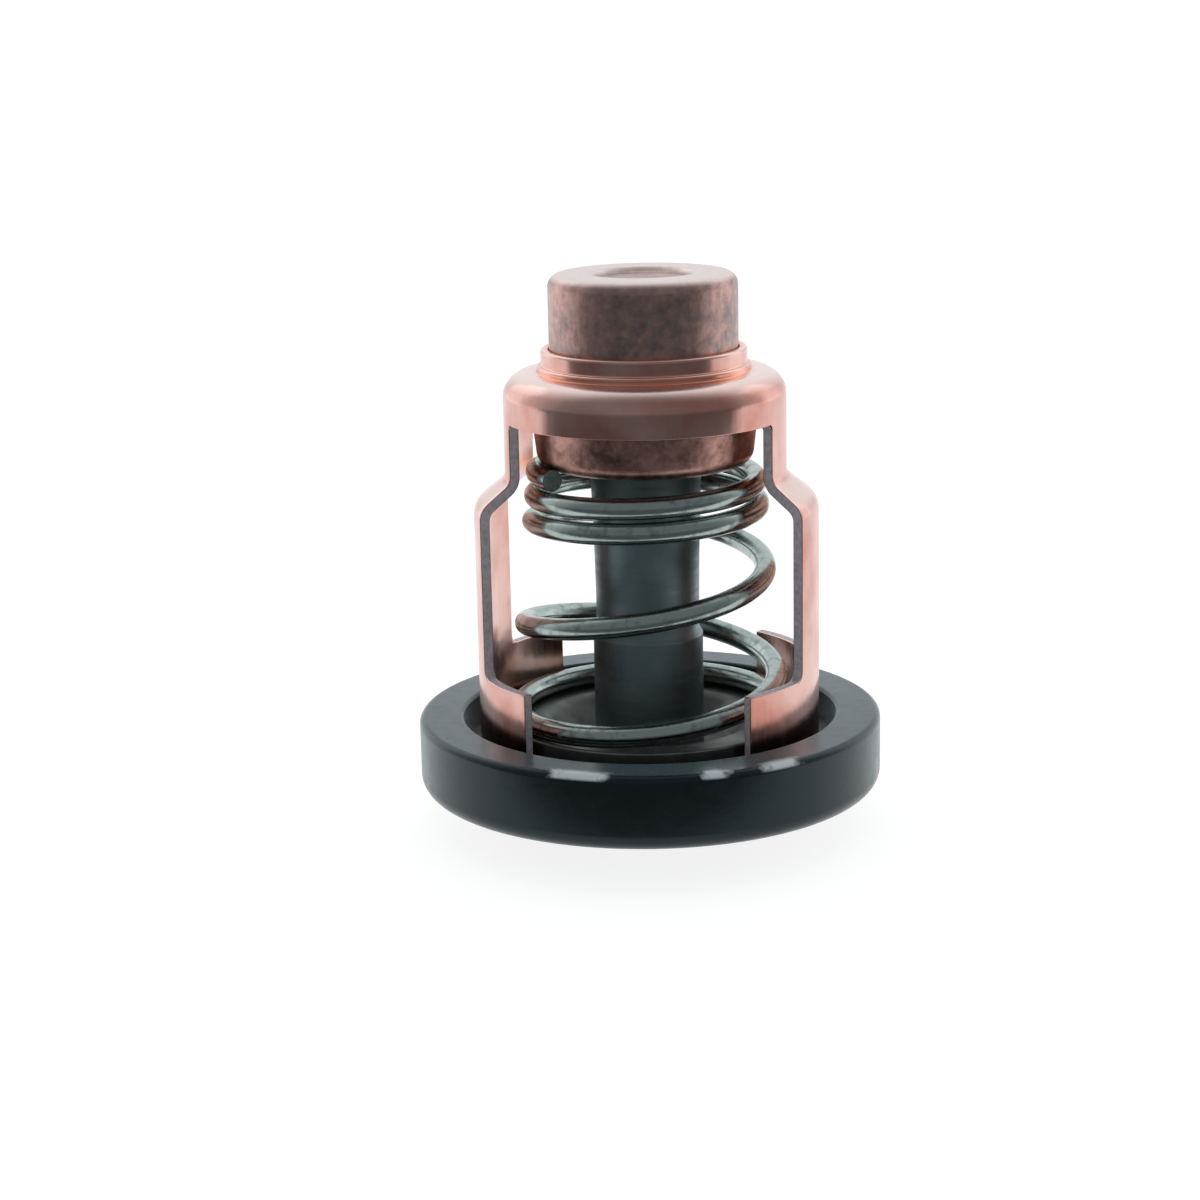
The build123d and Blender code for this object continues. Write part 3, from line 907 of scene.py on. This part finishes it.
def guide_outline(element, valve):
    """The section of the guide, from its neck below the valve up to its flange inside the bulb."""
    edge = element.guide_edge
    bore = element.guide_bore_radius
    neck = element.guide_neck_radius
    web_under = valve_low.z
    web_top = web_under + valve.sheet
    foot_end = web_top + element.guide_foot_height
    waist = foot_end + 2 * edge
    flange_under = guide_high.z - element.guide_flange
    flare_steps = 8
    flare = []
    for step in range(flare_steps + 1):
        share = step / flare_steps
        radius = element.guide_waist_radius
        radius += (element.guide_top_radius - element.guide_waist_radius) * share ** 2
        flare.append((radius, waist + (cup_low.z - waist) * share, 0.0))
    return rounded_outline([
        (bore, guide_low.z, edge / 2),
        (neck, guide_low.z, edge),
        (neck, web_under - element.clip_thickness, 0.0),
        (neck - element.clip_depth, web_under - element.clip_thickness, 0.0),
        (neck - element.clip_depth, web_under, 0.0),
        (neck, web_under, 0.0),
        (neck, web_top, 0.0),
        (element.guide_foot_radius, web_top, edge),
        (element.guide_foot_radius, foot_end, edge),
        *flare,
        (element.guide_top_radius, flange_under, 0.0),
        (guide_high.x, flange_under, 0.0),
        (guide_high.x, guide_high.z, 0.0),
        (element.nose_radius, guide_high.z, 0.0),
        (bore, guide_high.z - element.nose_depth, 0.0),
    ])


class COOLANT_OT_valve_disc(Operator):
    """Make the dished valve disc and finish its clip"""
    bl_idname = "coolant_valve.valve_disc"
    bl_label = "Valve Disc"

    def execute(self, context):
        valve = context.scene.coolant_valve_disc
        half = valve.sheet / 2
        disc_under = valve_low.z + valve.web_drop
        disc_top = disc_under + valve.sheet
        bowl = rounded_path([
            (valve.hole_radius, valve_low.z + half, 0.0),
            (valve.web_radius, valve_low.z + half, valve.bend),
            (valve.bowl_radius, disc_under + half, valve.bend),
            (valve.bowl_radius + 2 * valve.bend, disc_under + half, 0.0),
        ])
        under = [place - perpendicular(direction) * half for place, direction in bowl]
        above = [place + perpendicular(direction) * half for place, direction in bowl]
        lip_inside = valve_high.x - valve.lip_wall
        rim = rounded_path([
            (*under[-1], 0.0),
            (valve_high.x, disc_under, valve.edge * 2),
            (valve_high.x, disc_top + valve.lip, valve.edge),
            (lip_inside, disc_top + valve.lip, valve.edge),
            (lip_inside, disc_top, valve.edge),
            (*above[-1], 0.0),
        ])
        outline = under[:-1] + [place for place, direction in rim] + above[-2::-1]
        dark = coated_steel("dark_phosphated_steel", valve.coating, roughness=0.4)
        piece = turned_piece("dished_valve", outline, dark)
        seat(piece, VALVE_UNIT, "dark_steel", "valve_disc")
        # Stamped spring clip under the web: grey steel straight from the press.
        stamped = inner_material(
            "stamped_spring_steel", "#8A9092", roughness=0.3, grain_size=0.5, relief=0.01, metallic=1.0
        )
        finish_node("retaining_clip", stamped)
        return {"FINISHED"}


class COOLANT_OT_seat_and_bridge(Operator):
    """Finish the seat flange and the bridge below it"""
    bl_idname = "coolant_valve.seat_and_bridge"
    bl_label = "Seat and Bridge"

    def execute(self, context):
        plate = context.scene.coolant_valve_disc.plate
        plated = coated_steel("dull_plated_steel", plate, roughness=0.32)
        finish_node("seat_flange", plated)
        finish_node("bridge_strap", plated)
        return {"FINISHED"}


def ramp_rise_tree():
    """Height gained up to a turn when the lead grows smoothly from nothing to one between two turns."""
    tree = bpy.data.node_groups.new("Ramp Rise", "GeometryNodeTree")
    for name in ("Turn", "From", "Full"):
        tree.interface.new_socket(name=name, in_out="INPUT", socket_type="NodeSocketFloat")
    tree.interface.new_socket(name="Rise", in_out="OUTPUT", socket_type="NodeSocketFloat")
    turn, start, full = add(tree, "NodeGroupInput").outputs[:3]
    past = add(tree, "ShaderNodeMath", [turn, start], operation="SUBTRACT")
    span = add(tree, "ShaderNodeMath", [full, start], operation="SUBTRACT")
    share = add(tree, "ShaderNodeMath", [past, span], operation="DIVIDE", use_clamp=True)
    cube = add(tree, "ShaderNodeMath", [share, 3.0], operation="POWER")
    easing = add(tree, "ShaderNodeMath", [share, -0.5, 1.0], operation="MULTIPLY_ADD")
    eased = add(tree, "ShaderNodeMath", [cube, easing], operation="MULTIPLY")
    beyond = add(tree, "ShaderNodeMath", [turn, full], operation="SUBTRACT")
    straight = add(tree, "ShaderNodeMath", [beyond, 0.0], operation="MAXIMUM")
    rise = add(tree, "ShaderNodeMath", [eased, span, straight], operation="MULTIPLY_ADD")
    add(tree, "NodeGroupOutput", [rise])
    return tree


def wound_spring_tree(material, values):
    """A conical spring: points on a line are wound into a helix and swept with the round of the wire."""
    tree = bpy.data.node_groups.new("Wound Spring", "GeometryNodeTree")
    for name, value in values.items():
        kind = "NodeSocketInt" if isinstance(value, int) else "NodeSocketFloat"
        tree.interface.new_socket(name=name, in_out="INPUT", socket_type=kind)
    tree.interface.new_socket(name="Geometry", in_out="OUTPUT", socket_type="NodeSocketGeometry")
    given = add(tree, "NodeGroupInput").outputs
    ramp = ramp_rise_tree()
    line = add(tree, "GeometryNodeCurvePrimitiveLine")
    points = add(tree, "GeometryNodeResampleCurve", {"Curve": line, "Count": given["Steps"]}, mode="COUNT")
    share = add(tree, "GeometryNodeSplineParameter").outputs["Factor"]
    turn = add(tree, "ShaderNodeMath", [share, given["Turns"]], operation="MULTIPLY")
    last_from = add(tree, "ShaderNodeMath", [given["Turns"], given["Head Turns"]], operation="SUBTRACT")
    grow = add(tree, "GeometryNodeGroup", [turn, given["Open From"], given["Open Full"]], node_tree=ramp)
    leads = (
        (last_from, given["Turns"], given["Closed Lead"]),
        (given["Close From"], given["Close Full"], given["Open Lead"]),
    )
    height = given["Foot Height"]
    for fade_from, faded, lead in leads:
        fade = add(tree, "GeometryNodeGroup", [turn, fade_from, faded], node_tree=ramp)
        gained = add(tree, "ShaderNodeMath", [grow, fade], operation="SUBTRACT")
        height = add(tree, "ShaderNodeMath", [gained, lead, height], operation="MULTIPLY_ADD")
    risen = add(tree, "ShaderNodeMath", [height, given["Foot Height"]], operation="SUBTRACT")
    risen_share = add(tree, "ShaderNodeMath", [risen, given["Rise"]], operation="DIVIDE")
    taper = add(tree, "ShaderNodeMath", [given["Head Radius"], given["Foot Radius"]], operation="SUBTRACT")
    radius = add(
        tree, "ShaderNodeMath", [risen_share, taper, given["Foot Radius"]], operation="MULTIPLY_ADD"
    )
    wound = add(tree, "ShaderNodeMath", [turn, 2 * pi, given["Start Angle"]], operation="MULTIPLY_ADD")
    flat = []
    for operation in ("COSINE", "SINE"):
        swing = add(tree, "ShaderNodeMath", [wound], operation=operation)
        flat.append(add(tree, "ShaderNodeMath", [swing, radius], operation="MULTIPLY"))
    place = add(tree, "ShaderNodeCombineXYZ", [*flat, height])
    helix = add(tree, "GeometryNodeSetPosition", {"Geometry": points, "Position": place})
    wire = add(
        tree, "GeometryNodeCurvePrimitiveCircle",
        {"Resolution": given["Sides"], "Radius": given["Wire Radius"]},
    )
    swept = add(tree, "GeometryNodeCurveToMesh", {"Curve": helix, "Profile Curve": wire, "Fill Caps": True})
    whole = add(tree, "GeometryNodeRealizeInstances", [swept])
    finished = add(tree, "GeometryNodeSetMaterial", {"Geometry": whole, "Material": material})
    add(tree, "NodeGroupOutput", [finished])
    return tree


# The spring's properties that its node tree takes as they are
SPRING_INPUTS = (
    "wire_radius", "foot_radius", "head_radius", "turns", "start_angle", "head_turns", "open_from",
    "open_full", "close_from", "close_full", "steps", "sides",
)


class COOLANT_OT_return_spring(Operator):
    """Wind the conical return spring between the valve disc and the spring cup"""
    bl_idname = "coolant_valve.return_spring"
    bl_label = "Return Spring"

    def execute(self, context):
        spring = context.scene.coolant_spring
        foot = spring_low.z + spring.wire_radius
        rise = spring_high.z - spring.wire_radius - foot
        closed_lead = 2 * spring.wire_radius + spring.coil_gap
        leaves_foot = (spring.open_from + spring.open_full) / 2
        closed_rise = closed_lead * (spring.turns - spring.head_turns / 2 - leaves_foot)
        open_turns = (spring.close_from + spring.close_full) / 2 - leaves_foot
        values = {key.replace("_", " ").title(): getattr(spring, key) for key in SPRING_INPUTS}
        values |= {
            "Foot Height": foot, "Rise": rise,
            "Closed Lead": closed_lead, "Open Lead": (rise - closed_rise) / open_turns,
        }
        piece = put_in_scene("coil_spring", bpy.data.meshes.new("coil_spring"))
        winding = piece.modifiers.new("Winding", "NODES")
        winding.node_group = wound_spring_tree(bright_spring_wire(spring.steel), values)
        for item in winding.node_group.interface.items_tree:
            if item.in_out == "INPUT":
                winding[item.identifier] = values[item.name]
        settle(piece)
        if not piece.data.polygons:
            raise RuntimeError("the spring came out empty")
        piece.data.shade_smooth()
        piece.data.set_sharp_from_angle(angle=SHARP_ANGLE)
        seat(piece, HOUSING, "spring_steel", "return_spring")
        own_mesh(piece)
        return {"FINISHED"}


class COOLANT_OT_stage(Operator):
    """Set the pale floor, the soft light and the camera"""
    bl_idname = "coolant_valve.stage"
    bl_label = "Stage"

    def execute(self, context):
        stage = context.scene.coolant_stage
        add_floor(stage)
        add_tent(context.scene, stage)
        for name, side in (("left_soft_box", -1), ("right_soft_box", 1)):
            add_soft_box(stage, name, side)
        add_camera(context.scene, stage)
        context.scene.view_settings.view_transform = "Standard"
        return {"FINISHED"}


def add_floor(stage):
    """A pale floor that shows white to the camera and keeps the soft shadow."""
    half = stage.floor_size / 2
    data = bpy.data.meshes.new("pale_floor")
    corners = [(-half, -half, 0), (half, -half, 0), (half, half, 0), (-half, half, 0)]
    data.from_pydata(corners, [], [(0, 1, 2, 3)])
    floor = put_in_scene("pale_floor", data)
    material = bpy.data.materials.new("pale_paper")
    material.use_nodes = True
    tree = material.node_tree
    tree.nodes.clear()
    # Matte white paper. To the camera it is white all over, with a grey shadow, and it lights the valve from
    # below. Metal mirrors it white round the valve, and dim like the room from just in front of it.
    place = add(tree, "ShaderNodeTexCoord").outputs["Object"]
    depth = add(tree, "ShaderNodeSeparateXYZ", [place]).outputs["Y"]
    past_end = add(tree, "ShaderNodeMapRange", [depth, -stage.paper_front, -stage.paper_end])
    shaded = add(tree, "ShaderNodeBsdfDiffuse", {"Color": stage.paper_shade})
    glow = add(tree, "ShaderNodeEmission", {"Color": stage.backdrop, "Strength": stage.paper_glow})
    seen = add(tree, "ShaderNodeAddShader", [shaded, glow])
    ray = add(tree, "ShaderNodeLightPath").outputs
    mirrored = add(
        tree, "ShaderNodeMath", [ray["Is Glossy Ray"], ray["Is Transmission Ray"]], operation="MAXIMUM"
    )
    mirrored_far = add(tree, "ShaderNodeMath", [mirrored, past_end], operation="MULTIPLY")
    mirrored_near = add(tree, "ShaderNodeMath", [mirrored, mirrored_far], operation="SUBTRACT")
    sheet = add(tree, "ShaderNodeMix", [mirrored_far, stage.paper, stage.open_front], data_type="RGBA")
    paper = add(tree, "ShaderNodeBsdfDiffuse", {"Color": sheet})
    sees_white = add(tree, "ShaderNodeMath", [ray["Is Camera Ray"], mirrored_near], operation="MAXIMUM")
    both = add(tree, "ShaderNodeMixShader", [sees_white, paper, seen])
    add(tree, "ShaderNodeOutputMaterial", [both])
    data.materials.append(material)


def add_tent(scene, stage):
    """White cloth all round and above, open towards the front."""
    world = bpy.data.worlds.new("light_tent")
    scene.world = world
    world.use_nodes = True
    tree = world.node_tree
    tree.nodes.clear()
    way = add(tree, "ShaderNodeTexCoord").outputs["Generated"]
    front = (sin(stage.camera_side), -cos(stage.camera_side), 0.0)
    facing = add(tree, "ShaderNodeVectorMath", [way, front], operation="DOT_PRODUCT")
    opening = add(
        tree, "ShaderNodeMapRange", [facing, CLOTH_FADES, CLOTH_ENDS], interpolation_type="SMOOTHSTEP"
    )
    cloth = add(tree, "ShaderNodeMix", [opening, stage.tent, stage.open_front], data_type="RGBA")
    to_camera = add(tree, "ShaderNodeLightPath").outputs["Is Camera Ray"]
    seen = add(tree, "ShaderNodeMix", [to_camera, cloth, stage.backdrop], data_type="RGBA")
    light = add(tree, "ShaderNodeBackground", {"Color": seen, "Strength": 1.0})
    add(tree, "ShaderNodeOutputWorld", [light])


def add_soft_box(stage, name, side):
    """A tall soft box beside the valve, a little behind it."""
    data = bpy.data.lights.new(name, "AREA")
    data.shape = "RECTANGLE"
    data.size = stage.box_width
    data.size_y = stage.box_height
    data.energy = stage.box_power
    lamp = put_in_scene(name, data)
    middle = Vector((0, 0, (cad_box[0].z + cad_box[1].z) / 2))
    offset = Vector((side * cos(stage.box_behind), sin(stage.box_behind), 0)) * stage.box_distance
    offset.z = stage.box_lift
    lamp.location = middle + offset
    lamp.rotation_euler = (-offset).to_track_quat("-Z", "Y").to_euler()


def add_camera(scene, stage):
    """The camera at the photograph's viewing angle."""
    data = bpy.data.cameras.new("photo_camera")
    data.sensor_width = 36.0
    data.lens = stage.camera_lens
    data.clip_start = 0.01
    data.clip_end = 100.0
    camera = put_in_scene("photo_camera", data)
    side = stage.camera_side
    place = Vector((sin(side), -cos(side), 0)) * stage.camera_distance
    place.z = stage.camera_height
    turn = Matrix.Rotation(side + stage.camera_turn, 4, "Z")
    pitch = Matrix.Rotation(pi / 2 - stage.camera_pitch, 4, "X")
    roll = Matrix.Rotation(-stage.camera_roll, 4, "Z")
    camera.matrix_world = Matrix.Translation(place) @ turn @ pitch @ roll
    scene.camera = camera


class COOLANT_PT_panel(Panel):
    """The pieces of the coolant valve"""
    bl_label = "Coolant Valve"
    bl_idname = "COOLANT_PT_panel"
    bl_space_type = "VIEW_3D"
    bl_region_type = "UI"
    bl_category = "Coolant Valve"

    def draw(self, context):
        for operator in OPERATORS:
            self.layout.operator(operator.bl_idname)
        for name in SETTINGS:
            box = self.layout.box()
            settings = getattr(context.scene, name)
            for key in settings.bl_rna.properties.keys():
                if key not in ("rna_type", "name"):
                    box.prop(settings, key)


SETTINGS = {
    "coolant_ring": RingSizes,
    "coolant_cage": CageSizes,
    "coolant_cup": CupSizes,
    "coolant_element": ElementSizes,
    "coolant_valve_disc": ValveSizes,
    "coolant_spring": SpringSizes,
    "coolant_stage": StageSettings,
}
OPERATORS = (
    COOLANT_OT_sealing_ring,
    COOLANT_OT_cage_frame,
    COOLANT_OT_spring_cup,
    COOLANT_OT_wax_element,
    COOLANT_OT_valve_disc,
    COOLANT_OT_seat_and_bridge,
    COOLANT_OT_return_spring,
    COOLANT_OT_stage,
)


def register():
    for name, group in SETTINGS.items():
        bpy.utils.register_class(group)
        setattr(bpy.types.Scene, name, PointerProperty(type=group))
    for operator in OPERATORS:
        bpy.utils.register_class(operator)
    bpy.utils.register_class(COOLANT_PT_panel)


def unregister():
    bpy.utils.unregister_class(COOLANT_PT_panel)
    for operator in reversed(OPERATORS):
        bpy.utils.unregister_class(operator)
    for name, group in SETTINGS.items():
        delattr(bpy.types.Scene, name)
        bpy.utils.unregister_class(group)


def main():
    register()
    bpy.ops.coolant_valve.sealing_ring()
    bpy.ops.coolant_valve.cage_frame()
    bpy.ops.coolant_valve.spring_cup()
    bpy.ops.coolant_valve.wax_element()
    bpy.ops.coolant_valve.valve_disc()
    bpy.ops.coolant_valve.seat_and_bridge()
    bpy.ops.coolant_valve.return_spring()
    bpy.ops.coolant_valve.stage()


if __name__ == "__main__":
    main()
